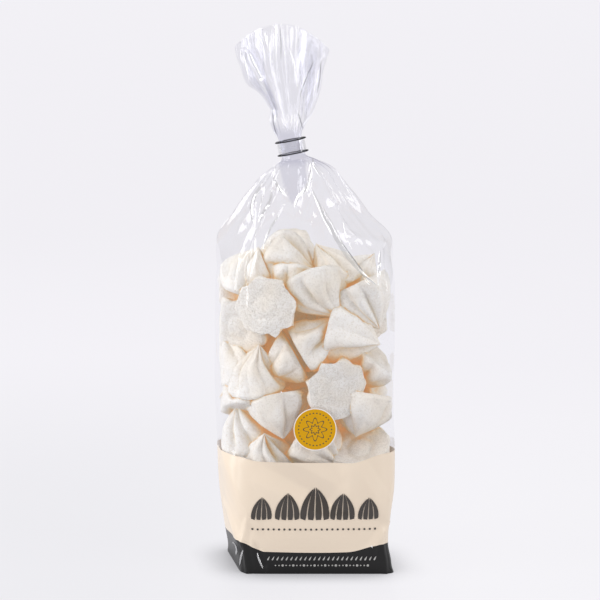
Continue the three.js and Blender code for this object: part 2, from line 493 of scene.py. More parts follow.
def relief(section, turn, crowded, x, z):
    front = np.sin(crowded) < 0
    on_front = crease_relief(FRONT_CREASES, x, z) + pucker_relief(x, z)
    total = np.where(front, on_front, crease_relief(BACK_CREASES, x, z)) + side_relief(crowded, z)
    total += corner_relief(section, crowded, z) + gather_relief(turn, z) + body_relief(turn, z)
    from_sticker = np.hypot(x - STICKER_X, z - STICKER_Z)
    under_sticker = front * (1 - rise(from_sticker, STICKER_RADIUS + 1, STICKER_RADIUS + 10))
    in_clip = between(z, 229, 233, 246, 250)
    return total * (1 - under_sticker) * (1 - in_clip)


def bag_points(turn, z):
    """Points of the bag's surface in millimetres, turn radians round it from +X, at stations of height z."""
    section = section_at(z)
    crowded = turn + CORNER_CROWDING * np.sin(4 * turn)
    crowded = (crowded + math.pi) % math.tau - math.pi
    c, s = np.cos(crowded), np.sin(crowded)
    to_side = np.maximum(0, np.abs(c) + (1 - section.panel) * np.abs(s))
    reach = (np.abs(s) ** section.sharp + to_side**section.sharp) ** (1 / section.sharp)
    pleat = 1 - crest_wave((turn + PLEAT_UNEVENNESS * np.sin(2 * turn + PLEAT_SHIFT)) * PLEATS / math.tau)
    size = (1 - section.pleat * pleat) / reach
    across, deep = section.half_width * c * size, section.half_depth * s * size
    wide = across - section.skew * deep
    lift = relief(section, turn, crowded, section.x + wide, z) / np.hypot(across, deep)
    wide, deep = wide * (1 + lift), deep * (1 + lift)
    down = -section.drop * (wide / section.half_width) ** 2
    lean = np.radians(section.lean)
    return np.stack(
        [
            section.x + wide * np.cos(lean) - down * np.sin(lean),
            deep,
            z + wide * np.sin(lean) + down * np.cos(lean),
        ],
        axis=-1,
    )


around = bag_points(np.linspace(0, math.tau, 9)[:-1], np.full(8, 96.0))
print("half way up, the bag is", round(float(np.ptp(around[:, 0]))), "mm wide")

# %% [markdown]
# ## Film, cream band and black foot
# A loft is a ring that is extruded upwards again and again, each new ring being moved to its place on
# the surface. The printed bands are part of the same film, so they are lofted the same way and share a
# ring with it where they meet. The foot is closed by rings that shrink towards its middle.

# %% Loft
RING_VERTS = 300
CREAM_FROM = 13.0
CREAM_TO = 65.0
RIM = 307.0


def ring_turns():
    return np.arange(RING_VERTS) * math.tau / RING_VERTS


def print_edges():
    """How high the black band and the cream one end at each turn: the film is slack, so they wave."""
    turns = ring_turns()
    x, y, _ = bag_points(turns, np.full(RING_VERTS, CREAM_FROM)).T
    front = 1 - 0.7 * rise(y, -20, 20)
    left, right = -x, x
    black_rise = 6 * rise(left, 22, 38) + 4 * rise(right, 24, 46)
    black_top = CREAM_FROM + 0.3 * np.sin(5 * turns) + front * black_rise
    cream_top = CREAM_TO + front * (3.5 * rise(left, 22, 44) + 4.5 * rise(right, 24, 46))
    return black_top, cream_top


def move_ring(verts, points):
    for vert, point in zip(verts, points):
        vert.co = Vector(point) * MM


def lofted(name, low, high, shares, material, closed_below=()):
    """A sheet of rings between the heights low and high, each a number or one for every turn. shares lists
    how far up each ring lies, from 0 to 1. closed_below lists smaller and smaller shares of the first
    ring, down to its middle, which shut the sheet at its foot."""
    bm = bmesh.new()
    turns = ring_turns()
    made = bmesh.ops.create_circle(bm, cap_ends=False, radius=1, segments=RING_VERTS)
    ring = sorted(made["verts"], key=lambda v: math.atan2(v.co.y, v.co.x) % math.tau)
    first_ring = ring
    for share in shares:
        if share > shares[0]:
            ring = extruded_ring(bm, ring)
        move_ring(ring, bag_points(turns, low + (high - low) * share + np.zeros(RING_VERTS)))
    ring = first_ring
    middle = Vector((STATIONS[0][1] * MM, 0, 0))
    for share in closed_below:
        points = [middle.lerp(vert.co, share) for vert in first_ring]
        ring = extruded_ring(bm, ring)
        for vert, point in zip(ring, points):
            vert.co = point
    if closed_below:
        bmesh.ops.pointmerge(bm, verts=ring, merge_co=middle)
    bmesh.ops.recalc_face_normals(bm, faces=bm.faces)
    return new_object(name, mesh_from(bm, name), material)


def extruded_ring(bm, ring):
    """Extrudes a closed ring of vertices and returns the new ring, in the same order."""
    edges = [bm.edges.get((a, b)) for a, b in zip(ring, ring[1:] + ring[:1])]
    made = bmesh.ops.extrude_edge_only(bm, edges=edges)["geom"]
    new = {v for v in made if isinstance(v, bmesh.types.BMVert)}
    return [next(e.other_vert(v) for e in v.link_edges if e.other_vert(v) in new) for v in ring]


# %% [markdown]
# ## Finish of the film
# The film is far thinner than its mesh could be, so it isn't made as glass, which would bend the light
# and darken what is inside. It mixes a clear shader with a mirror: face on, nearly all light passes, and
# at a glancing angle most is mirrored. Where the film is gathered it lies in many layers, which an
# attribute counts, and each layer takes a little of the light. The crinkle of the film is a group of
# nodes, because the printed bands have it too.

# %% Crinkle shared by the film and its print
CRINKLE_HEIGHT = 0.002


def crinkle_group():
    group = bpy.data.node_groups.new("Film crinkle", "ShaderNodeTree")
    for name, way in (("Fine Scale", "INPUT"), ("Broad Scale", "INPUT"), ("Height", "OUTPUT")):
        group.interface.new_socket(name, in_out=way, socket_type="NodeSocketFloat")
    paint = Paint(group)
    given = group.nodes.new("NodeGroupInput").outputs
    stretched = paint.add("Mapping", Vector=paint.place(), Scale=(1.0, 1.0, 0.35)).outputs[0]
    facets = paint.add("TexVoronoi")
    facets.feature = "SMOOTH_F1"
    paint.feed(facets, Vector=stretched, Scale=given["Broad Scale"], Smoothness=0.25)
    ripple = paint.noise(stretched, given["Fine Scale"], 1.0)
    height = paint.math("ADD", facets.outputs["Distance"], paint.math("MULTIPLY", ripple, 0.35))
    paint.feed(group.nodes.new("NodeGroupOutput"), Height=height)
    return group


CRINKLE = crinkle_group()


def crinkle_normal(paint, broad, fine, strength):
    """The normal of film that is crinkled by so many folds a metre, for a shader's Normal."""
    folds = paint.add("Group")
    folds.node_tree = CRINKLE
    paint.feed(folds, Broad_Scale=broad, Fine_Scale=fine)
    return paint.bump(folds.outputs["Height"], strength, CRINKLE_HEIGHT)

# %% Clear film
LAYERS = "layers"
FACE_ON_SHINE = 0.05
GLANCING_SHINE = 0.65
GLANCING_POWER = 3.1  # the higher, the narrower the edge that shines
# Painted shade: the panel folded in under the clip mirrors the dim room and looks grey, and extra layers of
# film draw that grey.
FOLDED_PANEL_SHADE = (  # heights, and from where to where in x the panel folded in at the front lies there
    (207, -6.8, -6.8),
    (212, -9.0, -3.5),
    (216, -10.7, -0.8),
    (220, -12.2, 2.3),
    (232, -15.0, 1.0),
)


def clear_film_material(name, tint, crinkle, layered=False, face_on=FACE_ON_SHINE, roughness=0.04):
    """A clear shader mixed with a mirror. The tint is what one layer of film lets through."""
    material, paint, mirror = new_material(name)
    normal = crinkle_normal(paint, 60, 260, crinkle)
    paint.feed(mirror, Base_Color=(1, 1, 1), Metallic=1.0, Roughness=roughness, Normal=normal)
    facing = paint.add("LayerWeight", Blend=0.5, Normal=normal).outputs["Facing"]
    glancing = paint.math("POWER", facing, GLANCING_POWER)
    shine = paint.in_range(glancing, 0, 1, face_on, GLANCING_SHINE, smooth=False)
    if layered:
        tint = paint.add("Gamma", Color=tint, Gamma=paint.attribute(LAYERS)).outputs[0]
    clear = paint.add("BsdfTransparent", Color=tint)
    paint.feed(paint.nodes["Material Output"], Surface=paint.mix_shaders(shine, clear, mirror))
    return material


def count_layers(thing):
    """Writes how many layers of film lie on each other at each point of the bag, and eight more on the panel
    folded in at the front, where they paint the grey that the panel mirrors from the dim room.
    """
    mesh = thing.data
    x, y, z = np.array([v.co for v in mesh.vertices]).T / MM
    layers = 1 + 0.5 * rise(z, 180, 226) + 6.0 * between(z, 226, 233, 244, 254)
    layers += 1.5 * between(z, 250, 262, 280, 307)
    heights, lefts, rights = np.array(FOLDED_PANEL_SHADE).T
    inside = np.minimum(x - np.interp(z, heights, lefts), np.interp(z, heights, rights) - x)
    # Eight layers more on the folded-in panel: painted shade for the dim room it mirrors.
    layers += 8.0 * rise(inside, 0, 1.0) * (y < 0) * (z > heights[0]) * (z < 232)
    mesh.attributes.new(LAYERS, "FLOAT", "POINT").data.foreach_set("value", layers)


clear_film = clear_film_material("clear_film", (0.978, 0.978, 0.984), 0.17, layered=True)
FILM_HEIGHTS = np.concatenate([steps(CREAM_TO, 165, 2.0), steps(165.8, 250, 0.8), steps(251.3, RIM, 1.3)])
BLACK_TOP, CREAM_TOP = print_edges()
film = lofted("film", CREAM_TOP, RIM, (FILM_HEIGHTS - CREAM_TO) / (RIM - CREAM_TO), clear_film)
count_layers(film)
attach(film, "root")
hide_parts("bag")
print("film:", len(film.data.polygons), "faces")

# %% [markdown]
# ## Printed bands
# Ink on the inside of glossy film looks like satin paint behind a thin lacquer: the colour is even, and
# the gloss of the film lies over it as a coat. A little of the crinkle breaks up the reflections.

# %% Print
def print_material(name, colour, deeper, roughness=0.5, coat=0.3, coat_roughness=0.12, specular=0.5):
    material, paint, shader = new_material(name)
    uneven = paint.noise(paint.place(), 38.0, 3.0)
    paint.feed(
        shader,
        Base_Color=paint.mix(uneven, deeper, colour),
        Roughness=roughness,
        Specular_IOR_Level=specular,
        Coat_Weight=coat,
        Coat_Roughness=coat_roughness,
        Normal=crinkle_normal(paint, 45, 200, 0.12),
    )
    return material


cream_ink = print_material("cream_ink", (0.85, 0.725, 0.585), (0.83, 0.70, 0.56), roughness=0.45)
black_ink = print_material(
    "black_ink",
    (0.008, 0.0077, 0.0077),
    (0.004, 0.004, 0.004),
    coat=0.28,
    coat_roughness=0.05,
    specular=0.2,
)

cream_band = lofted("cream_band", BLACK_TOP, CREAM_TOP, np.linspace(0, 1, 41), cream_ink)
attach(cream_band, "root")
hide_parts("bag")

FOOT_SHARES = (0.985, 0.95, 0.8, 0.6, 0.4, 0.2, 0.08)
black_foot = lofted("black_foot", 0, BLACK_TOP, np.linspace(0, 1, 15), black_ink, FOOT_SHARES)
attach(black_foot, "root")
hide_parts("bag")
print("bands:", len(cream_band.data.polygons), "and", len(black_foot.data.polygons), "faces")

# %% [markdown]
# ## Sharp folds
# Stiff film that is folded sharply shows a thin bright line, because the bend mirrors every lamp at once,
# and a dark one where we look along a folded edge. Such a fold is a narrow ribbon with a ridge along its
# middle. It is a small grid that is drawn along a path of x and z, and then laid on the film by looking
# up the film's place there.

# %% Folds laid on the film
PROUD = 0.25  # mm that folds and ink stand out from the film
FRONT_TURNS = np.linspace(math.pi, math.tau, 450)
Fold = namedtuple("Fold", "half_width height path")
BRIGHT_FOLDS = (
    Fold(
        1.25,
        1.00,
        ((3.9, 216.9), (12.2, 199.8), (20.5, 185.9), (24.9, 179.6), (34.3, 169.3), (40.9, 164.4)),
    ),
    Fold(0.45, 0.40, ((8.9, 208.8), (14.5, 199.7), (18.9, 191.3), (22.7, 184.9), (29.8, 176.0))),
    Fold(1.20, 0.90, ((3.9, 230.5), (3.4, 221.2), (1.1, 216.0), (-3.3, 212.0), (-5.4, 206.0))),
    Fold(0.50, 0.45, ((4.5, 232.6), (5.6, 227.7), (9.6, 222.0))),
    Fold(0.95, 0.70, ((-22.6, 221.0), (-27.9, 211.4), (-29.6, 205.3), (-29.0, 200.1), (-27.2, 196.7))),
    Fold(0.35, 0.30, ((-21.5, 219.0), (-24.0, 207.3), (-25.6, 200.5))),
    Fold(0.80, 0.60, ((-17.8, 215.5), (-18.9, 210.1), (-23.4, 202.1), (-25.6, 197.8))),
    Fold(0.90, 0.60, ((-16.4, 222.0), (-13.3, 216.0), (-9.4, 212.0))),
    Fold(0.55, 0.45, ((-12.8, 203.9), (-15.5, 200.1), (-18.3, 195.9), (-21.1, 190.1), (-22.7, 183.8))),
    Fold(0.45, 0.40, ((-26.7, 196.2), (-27.1, 189.2), (-26.6, 180.7), (-29.8, 168.9))),
    Fold(0.45, 0.35, ((-16.2, 230.4), (-16.7, 223.5), (-17.8, 217.6))),
    Fold(0.80, 0.50, ((42.3, 183.5), (41.5, 174.2), (40.9, 164.4))),
    Fold(0.35, 0.30, ((21.7, 198.9), (23.3, 192.1), (26.6, 183.9))),
    Fold(0.80, 0.60, ((-33.9, 297.9), (-32.3, 287.4), (-30.1, 277.4))),
    Fold(1.30, 0.70, ((-30.6, 297.3), (-28.9, 290.2), (-26.1, 283.0), (-22.8, 275.4), (-20.6, 269.3))),
    Fold(0.60, 0.50, ((-21.6, 304.7), (-19.9, 297.8), (-18.2, 291.2))),
    Fold(0.90, 0.60, ((-16.0, 306.7), (-16.0, 299.0), (-15.5, 286.8))),
    Fold(0.50, 0.45, ((-7.7, 294.4), (-6.1, 287.8), (-3.9, 276.7), (-3.3, 270.0))),
    Fold(0.60, 0.45, ((7.8, 287.5), (6.7, 276.4), (5.0, 265.2))),
    Fold(0.50, 0.40, ((-15.6, 258.8), (-16.1, 253.6))),
    Fold(0.50, 0.45, ((-34.3, 14.0), (-35.6, 9.2), (-36.6, 2.8))),
    Fold(0.50, 0.45, ((-26.4, 12.5), (-25.3, 8.3), (-23.1, 3.0))),
    Fold(0.50, 0.40, ((-41.0, 12.0), (-39.8, 14.0), (-38.6, 13.6), (-38.2, 10.8), (-39.0, 6.4))),
)
DARK_FOLDS = (
    Fold(0.34, 0.2, ((18.3, 191.8), (23.8, 183.8), (28.8, 177.4), (33.8, 170.4), (40.4, 164.4))),
    Fold(0.25, 0.1, ((-34.6, 300.5), (-35.0, 290.1), (-32.3, 279.0), (-30.6, 272.9))),
    Fold(0.25, 0.1, ((-13.2, 306.1), (-12.7, 296.2), (-12.7, 287.9))),
    Fold(0.32, 0.2, ((5.5, 291.6), (2.2, 282.2), (-1.1, 272.3), (-2.2, 266.7))),
    Fold(0.28, 0.1, ((9.6, 294.6), (8.9, 281.8), (7.3, 270.7))),
    Fold(0.34, 0.2, ((-3.3, 258.3), (-1.6, 252.0), (0.0, 246.1))),
    Fold(0.30, 0.1, ((-17.6, 261.5), (-17.1, 253.9), (-15.2, 246.4))),
)


def on_front(x, z, proud):
    """Points on the front of the film at x and z, and as far proud of it, all in millimetres."""
    grid = bag_points(np.tile(FRONT_TURNS, len(z)), np.repeat(z, len(FRONT_TURNS)))
    points = []
    for at_x, row, out in zip(x, grid.reshape(len(z), -1, 3), proud):
        at_x = np.clip(at_x, row[:, 0].min(), row[:, 0].max())
        away = np.abs(row[:, 0] - at_x)
        near = row[away < away.min() + 0.3]
        foremost = near[near[:, 1].argmin()]
        points.append((at_x, foremost[1] - out, foremost[2]))
    return np.array(points)


def laid_on_film(name, bm, material):
    """Lays what was drawn at x and z on the film. How far it was drawn at -y is how far it stands proud."""
    x, y, z = np.array([vert.co for vert in bm.verts]).T
    move_ring(bm.verts, on_front(x, z, PROUD - y))
    thing = new_object(name, mesh_from(bm, name), material)
    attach(thing, "root")
    return thing


def fold_ribbon(bm, fold):
    """A ribbon along the fold's path, with a ridge along its middle and pointed ends."""
    verts = bmesh.ops.create_grid(bm, x_segments=2, y_segments=30, size=1)["verts"]
    path = np.array(fold.path)
    reach = np.append(0, np.cumsum(np.hypot(*np.diff(path, axis=0).T)))
    for vert in verts:
        across, along = vert.co.x, (vert.co.y + 1) / 2
        near = np.array((along - 0.04, along, along + 0.04)).clip(0, 1) * reach[-1]
        x, z = (np.interp(near, reach, path[:, i]) for i in (0, 1))
        way = np.array((x[2] - x[0], z[2] - z[0])) / math.hypot(x[2] - x[0], z[2] - z[0])
        taper = (1 - abs(2 * along - 1) ** 2.5) ** 0.7
        aside = across * fold.half_width * taper
        raised = -fold.height * taper * (1 - abs(across))
        vert.co = (x.mean() + way[1] * aside, raised, z.mean() - way[0] * aside)


def folds_laid(name, folds, material):
    bm = bmesh.new()
    for fold in folds:
        fold_ribbon(bm, fold)
    bmesh.ops.recalc_face_normals(bm, faces=bm.faces)
    return laid_on_film(name, bm, material)


creased_film = clear_film_material("creased_film", (0.985, 0.985, 0.99), 0.06, face_on=0.5, roughness=0.22)
folded_edge = clear_film_material("folded_edge", (0.58, 0.58, 0.60), 0.06)
folds_laid("bright_folds", BRIGHT_FOLDS, creased_film)
folds_laid("dark_folds", DARK_FOLDS, folded_edge)
print("folds:", len(BRIGHT_FOLDS), "bright and", len(DARK_FOLDS), "dark")

# %% [markdown]
# ## Ornament
# The print carries a plain ornament: a row of piped kisses over a line of dots on the cream band, and two
# rows of small marks on the black one. A stroke of ink is a little grid bent to the stroke's shape, and
# a dot is a filled circle. They are drawn flat and laid on the film like the folds.

# %% Strokes and dots of ink
def stroke(bm, foot, tip, half_width, bow=0.0):
    """A stroke from foot to tip, widest near its foot and bowed sideways."""
    verts = bmesh.ops.create_grid(bm, x_segments=2, y_segments=12, size=1)["verts"]
    foot, tip = np.array(foot, float), np.array(tip, float)
    aside = np.array((tip[1] - foot[1], foot[0] - tip[0])) / np.hypot(*(tip - foot))
    for vert in verts:
        across, along = vert.co.x, (vert.co.y + 1) / 2
        width = half_width * (1 - along**2) ** 0.8 * (0.75 + 0.25 * min(1, along / 0.12))
        x, z = foot + (tip - foot) * along + aside * (across * width + bow * math.sin(math.pi * along))
        vert.co = (x, 0, z)


def dot(bm, x, z, radius):
    turned = Matrix.Translation((x, 0, z)) @ Matrix.Rotation(math.pi / 2, 4, "X")
    bmesh.ops.create_circle(bm, cap_ends=True, radius=radius, segments=14, matrix=turned)


# %% Ornament on both bands
KISS_ROW = ((-24, 13.5), (-9.5, 16), (6, 19), (21.5, 16), (36, 13.5))  # middle x and height of each
KISS_FOOT = 32.0  # this and the next three are heights above the floor
DOT_LINE = 26.5
MARK_LINE = 9.4
LOW_DOT_LINE = 5.2
BIG_DOT = 0.62
THIN = 0.42  # radius of the small dots and half the width of a mark


def piped_kiss(bm, x, height):
    """Four ridges that rise from a broad foot and meet in one peak."""
    for side in (-1.5, -0.5, 0.5, 1.5):
        foot = (x + side * 0.23 * height, KISS_FOOT + 0.25 * abs(side))
        tip = (x + 0.6 + 0.04 * side * height, KISS_FOOT + height * (1 - 0.05 * abs(side)))
        stroke(bm, foot, tip, 0.098 * height, 0.055 * side * height)


brown_ink = print_material("brown_ink", (0.045, 0.035, 0.028), (0.03, 0.024, 0.02))
pale_ink = print_material("pale_ink", (0.50, 0.49, 0.47), (0.36, 0.35, 0.34))

def cream_ornament():
    bm = bmesh.new()
    for x, height in KISS_ROW:
        piped_kiss(bm, x, height)
    for x in steps(-29, 40, 3.0):
        dot(bm, x, DOT_LINE, BIG_DOT)
    laid_on_film("cream_ornament", bm, brown_ink)


def black_ornament():
    bm = bmesh.new()
    for x in steps(-20, 40, 2.6):
        stroke(bm, (x - 0.5, MARK_LINE - 1.1), (x + 0.7, MARK_LINE + 1.2), THIN)
    for x in steps(-16, 36, 2.0):
        dot(bm, x, LOW_DOT_LINE, THIN if round(x) % 3 else 0.7)
    laid_on_film("black_ornament", bm, pale_ink)


cream_ornament()
black_ornament()
print("kisses in the ornament:", len(KISS_ROW))

# %% [markdown]
# ## One meringue
# A meringue kiss is piped through a star nozzle: a round foot, ridges that twist a little as they rise,
# and a peak that is pulled to a point and often bends over. Its underside is flat and open-pored, with a
# dent where the air sank. All of them are the same stack of rings, so the stack is made once, by
# extruding a circle upwards and inwards, and a formula then gives every copy a shape of its own.

# %% A stack of rings to shape
Blank = namedtuple("Blank", "mesh turn level")


def kiss_blank(name, around_count, levels_up, levels_in):
    """A closed stack of rings. Its level runs from -1 at the middle of the flat foot, through 0 at the
    foot's edge, to 1 at the peak, and is kept as each vertex's height until the stack is shaped."""
    bm = bmesh.new()
    ring = bmesh.ops.create_circle(bm, cap_ends=False, radius=1, segments=around_count)["verts"]
    ring = sorted(ring, key=lambda v: math.atan2(v.co.y, v.co.x) % math.tau)
    foot = ring
    for level in levels_up:
        ring = extruded_ring(bm, ring)
        for vert in ring:
            vert.co.z = level
    bmesh.ops.pointmerge(bm, verts=ring, merge_co=(0, 0, 1))
    ring = foot
    for level in levels_in:
        ring = extruded_ring(bm, ring)
        for vert in ring:
            vert.co.z = level
    bmesh.ops.pointmerge(bm, verts=ring, merge_co=(0, 0, -1))
    bmesh.ops.recalc_face_normals(bm, faces=bm.faces)
    mesh = mesh_from(bm, name)
    places = np.empty(len(mesh.vertices) * 3)
    mesh.vertices.foreach_get("co", places)
    places = places.reshape(-1, 3)
    return Blank(mesh, np.arctan2(places[:, 1], places[:, 0]), places[:, 2])


def levels_up(rows):
    """Levels above the foot, closer together at the foot's edge and at the peak."""
    share = np.arange(1, rows + 1) / rows
    return share - 0.10 * np.sin(math.tau * share) / math.pi * 1.6


FINE_ROWS_IN = (-0.03, -0.1, -0.25, -0.42, -0.52, -0.6, -0.68, -0.8, -0.96)
FINE = kiss_blank("fine_blank", 72, levels_up(30), FINE_ROWS_IN)
MIDDLE = kiss_blank("middle_blank", 48, levels_up(15), (-0.04, -0.2, -0.5, -0.6, -0.9))
COARSE = kiss_blank("coarse_blank", 24, levels_up(12), (-0.1, -0.5, -0.8, -0.95))
print("faces of one meringue:", [len(blank.mesh.polygons) for blank in (FINE, MIDDLE, COARSE)])

# %% Shape of one meringue
Shape = namedtuple("Shape", "radius height ridges depth crisp full drawn twist lean_to lean phases dent")


def random_shape(rng, width):
    """Sizes of one meringue in millimetres, a little different each time."""
    return Shape(
        radius=width / 2,
        height=width * rng.uniform(0.72, 0.86),
        ridges=rng.choice((6, 8, 9)),
        depth=rng.uniform(0.20, 0.31),
        crisp=rng.uniform(0.45, 1.1),
        full=rng.uniform(1.9, 2.9),
        drawn=rng.uniform(0.95, 1.35),
        twist=rng.uniform(-0.1, 0.8),
        lean_to=rng.uniform(0, math.tau),
        lean=rng.uniform(0.0, 0.40),
        phases=[rng.uniform(0, math.tau) for _ in range(5)],
        dent=rng.uniform(0.8, 2.0),
    )


def kiss_points(turn, level, shape):
    """The blank's points moved to the shape of one meringue, with its foot on z = 0. Its columns are drawn
    towards the grooves between the ridges, which keeps those crisp."""
    up = np.clip(level, 0, 1)
    inward = np.clip(1 + level, 0, 1)
    p = shape.phases
    turn = turn + 0.45 * np.sin(shape.ridges * turn) / shape.ridges
    count = turn * shape.ridges / math.tau
    soft_ridge = 0.5 + 0.5 * np.cos(count * math.tau)
    ridge = soft_ridge + (crest_wave(count) ** shape.crisp - soft_ridge) * rise(up, 0.0, 0.25)
    outline = (1 - up**shape.full) ** shape.drawn * (0.92 + 0.08 * rise(up, 0, 0.12))
    outline = np.where(level < 0, inward * 0.92, outline)
    uneven = 0.8 + 0.35 * np.sin(2 * turn + p[2]) + 0.2 * np.sin(3 * turn + p[3])
    deepening = 0.2 + 0.65 * rise(up, 0.01, 0.16) + 1.1 * rise(up, 0.05, 0.42) + 0.8 * rise(up, 0.55, 1)
    cut = shape.depth * deepening * uneven
    lumps = 0.035 * np.sin(3 * turn + 5 * up + p[3]) + 0.022 * np.sin(5 * turn - 9 * up + p[4])
    lumps += 0.012 * np.sin(11 * turn + 13 * up + p[1]) + 0.010 * np.sin(9 * turn - 21 * up + p[2])
    radius = shape.radius * outline * (1 + 0.4 * shape.depth - cut * (1 - ridge) + lumps)
    angle = turn + 0.18 * np.sin(turn + p[0]) + 0.09 * np.sin(2 * turn + p[1]) - shape.twist * up
    bend = shape.lean * shape.radius * rise(up, 0.45, 1.0) ** 1.5
    groove = shape.dent * np.exp(-(((inward - 0.42) / 0.09) ** 2)) * (level < 0)
    bulge = -0.7 * inward**2 * (level < 0)
    sag = 0.5 * np.sin(2 * turn + p[0]) * rise(inward, 0.5, 1.0) * (1 - rise(up, 0, 0.3))
    return np.stack(
        [
            radius * np.cos(angle) * (1 + 0.06 * np.sin(p[1])) + bend * math.cos(shape.lean_to),
            radius * np.sin(angle) + bend * math.sin(shape.lean_to),
            shape.height * up + groove + bulge * (1 - inward) + sag,
        ],
        axis=-1,
    )


# %% [markdown]
# ## The heap
# The meringues that lie against the front of the film are placed one by one, as someone filling the bag
# might settle them: for each we say where its middle is and where its peak points. The others are drawn
# at random, with a fixed seed. Then all of them are pushed apart where they overlap, and back inside the
# film where they stick out. The placed ones give way mostly in depth, so that the front stays nearly as
# it was laid. For all this a meringue is a handful of balls, enough to keep it from sinking into others.

# %% Places of the meringues
MIDDLE_HEIGHT = 0.42  # the share of its height at which a meringue's middle lies
Kiss = namedtuple("Kiss", "middle peak width")
FRONT = (
    Kiss((-36.0, -8, 170.5), (0.15, -0.20, 0.97), 31),
    Kiss((-7.2, -3, 175.5), (0.74, -0.48, -0.46), 31),
    Kiss((15.7, -1, 170.5), (-0.30, -0.10, 0.95), 31),
    Kiss((31.0, 2, 167.0), (0.55, 0.10, 0.80), 30),
    Kiss((10.1, -16, 157.5), (0.36, -0.50, -0.79), 35),
    Kiss((-21.7, -18, 151.5), (0.30, 0.94, -0.12), 33),
    Kiss((-38.5, -9, 141.1), (0.45, 0.75, 0.25), 34),
    Kiss((36.0, -8, 152.1), (0.45, -0.20, -0.85), 34),
    Kiss((28.6, -16, 134.3), (0.93, -0.28, -0.22), 34),
    Kiss((7.8, -20, 132.4), (0.83, -0.08, 0.55), 29),
    Kiss((-13.0, -14, 118.0), (-0.87, -0.02, -0.49), 29.5),
    Kiss((-31.0, -16, 117.2), (-0.16, -0.32, 0.93), 31),
    Kiss((-39.5, -2, 118.0), (-0.50, 0.25, 0.80), 32),
    Kiss((-37.0, -8, 97.5), (0.20, 0.45, 0.87), 31),
    Kiss((17.4, -18, 106.0), (-0.26, 0.95, 0.10), 33.5),
    Kiss((37.0, -8, 114.0), (-0.60, 0.10, -0.75), 33),
    Kiss((-16.3, -17, 89.3), (0.17, -0.36, -0.92), 32),
    Kiss((-1.0, -4, 88.0), (0.30, 0.30, 0.90), 32),
    Kiss((-23.6, -17, 69.5), (-0.20, -0.25, 0.94), 32),
    Kiss((-38.0, -10, 79.5), (-0.25, -0.20, 0.94), 32),
    Kiss((9.1, -16, 69.0), (0.72, -0.45, -0.52), 33),
    Kiss((34.5, -14, 90.7), (-0.10, -0.30, -0.95), 33),
    Kiss((34.2, -14, 64.0), (0.12, 0.60, -0.80), 33),
    Kiss((-7.8, -2, 160.0), (-0.10, -0.50, -0.86), 32),
    Kiss((20.0, 2, 88.0), (0.30, -0.60, 0.70), 31),
)
FILLERS = ((-38, 8, 152), (39, 6, 134), (40, 2, 98), (-38, 6, 100))
BACK_LEVELS = (66, 88, 110, 132, 153)
HIDDEN_LEVELS = (16, 42)
SEED = 11


def random_direction(rng):
    across = rng.uniform(0, math.tau)
    up = rng.uniform(-1, 1)
    flat = math.sqrt(1 - up * up)
    return (flat * math.cos(across), flat * math.sin(across), up)


def back_kisses(rng):
    """The layer behind, three to a row, the rows shifted against each other."""
    for row, level in enumerate(BACK_LEVELS):
        for x in (-32, 0, 32) if row % 2 else (-36, -5, 28):
            middle = (x + rng.uniform(-3, 3), 16 + rng.uniform(-2, 3), level + rng.uniform(-4, 4))
            yield Kiss(middle, random_direction(rng), rng.uniform(29, 35))
    for middle in FILLERS:
        yield Kiss(middle, random_direction(rng), rng.uniform(29, 33))


def hidden_kisses(rng):
    """The ones behind the printed bands, which carry the rest."""
    for level in HIDDEN_LEVELS:
        for y in (-14, 14):
            for x in (-32, 0, 32):
                middle = (x + rng.uniform(-3, 3), y, level + rng.uniform(-2, 2))
                yield Kiss(middle, random_direction(rng), rng.uniform(27, 30))


rng = random.Random(SEED)
BACK = tuple(back_kisses(rng))
HIDDEN = tuple(hidden_kisses(rng))
KISSES = FRONT + BACK + HIDDEN
print("meringues:", len(FRONT), "in front,", len(BACK), "behind,", len(HIDDEN), "behind the print")

# %% Push them apart
ROUNDS = 160
SOFTNESS = 1.8  # mm that neighbours may sink into each other where their ridges mesh
WALL_GAP = 1.2
FLOOR_GAP = 1.2
HEAP_TOP = 187
LEAST_ROOM = 1.0
PLACED_FREEDOM = np.array((0.1, 0.6, 0.1))  # the share of a push that the placed ones follow in x, y and z


def turned_to(peak, spin):
    """The turn that points a meringue's peak along peak, after it is spun round its own axis."""
    upright = Vector((0, 0, 1)).rotation_difference(Vector(peak).normalized()).to_matrix()
    return upright @ Matrix.Rotation(spin, 3, "Z")


def ball_model(shape, turn):
    """Balls that fill one meringue about its middle: their places and radii in millimetres."""
    ring = 0.56 * shape.radius
    side = 0.43 * shape.radius
    places = [(ring * math.cos(a), ring * math.sin(a), side) for a in np.arange(6) * math.tau / 6]
    places += [(0, 0, share * shape.height) for share in (0.45, 0.73, 0.92)]
    radii = [side] * 6 + [share * shape.radius for share in (0.42, 0.20, 0.08)]
    middle = Vector((0, 0, MIDDLE_HEIGHT * shape.height))
    return np.array([turn @ (Vector(place) - middle) for place in places]), np.array(radii)


def pushed_apart(kisses, balls, radii):
    """Moves the middles of the kisses until their balls hardly overlap and none is outside the film."""
    middles = np.array([kiss.middle for kiss in kisses], float)
    wanted = middles.copy()
    held = (np.arange(len(kisses)) < len(FRONT))[:, None]
    freedom = np.where(held, PLACED_FREEDOM, np.ones(3))
    owner = np.repeat(np.arange(len(kisses)), [len(b) for b in balls])
    offsets = np.vstack(balls)
    size = np.concatenate(radii)
    others = owner[:, None] != owner[None, :]
    for _ in range(ROUNDS):
        place = middles[owner] + offsets
        apart = place[:, None, :] - place[None, :, :]
        distance = np.linalg.norm(apart, axis=-1) + 1e-6
        overlap = np.clip(size[:, None] + size[None, :] - SOFTNESS - distance, 0, None) * others
        push = (apart / distance[..., None] * overlap[..., None]).sum(1) * freedom[owner]
        push += 1.2 * (inside_film(place, size) - place)
        move = np.zeros_like(middles)
        np.add.at(move, owner, push)
        middles += 0.12 * move
        middles += 0.08 * (wanted - middles) * held
    return middles


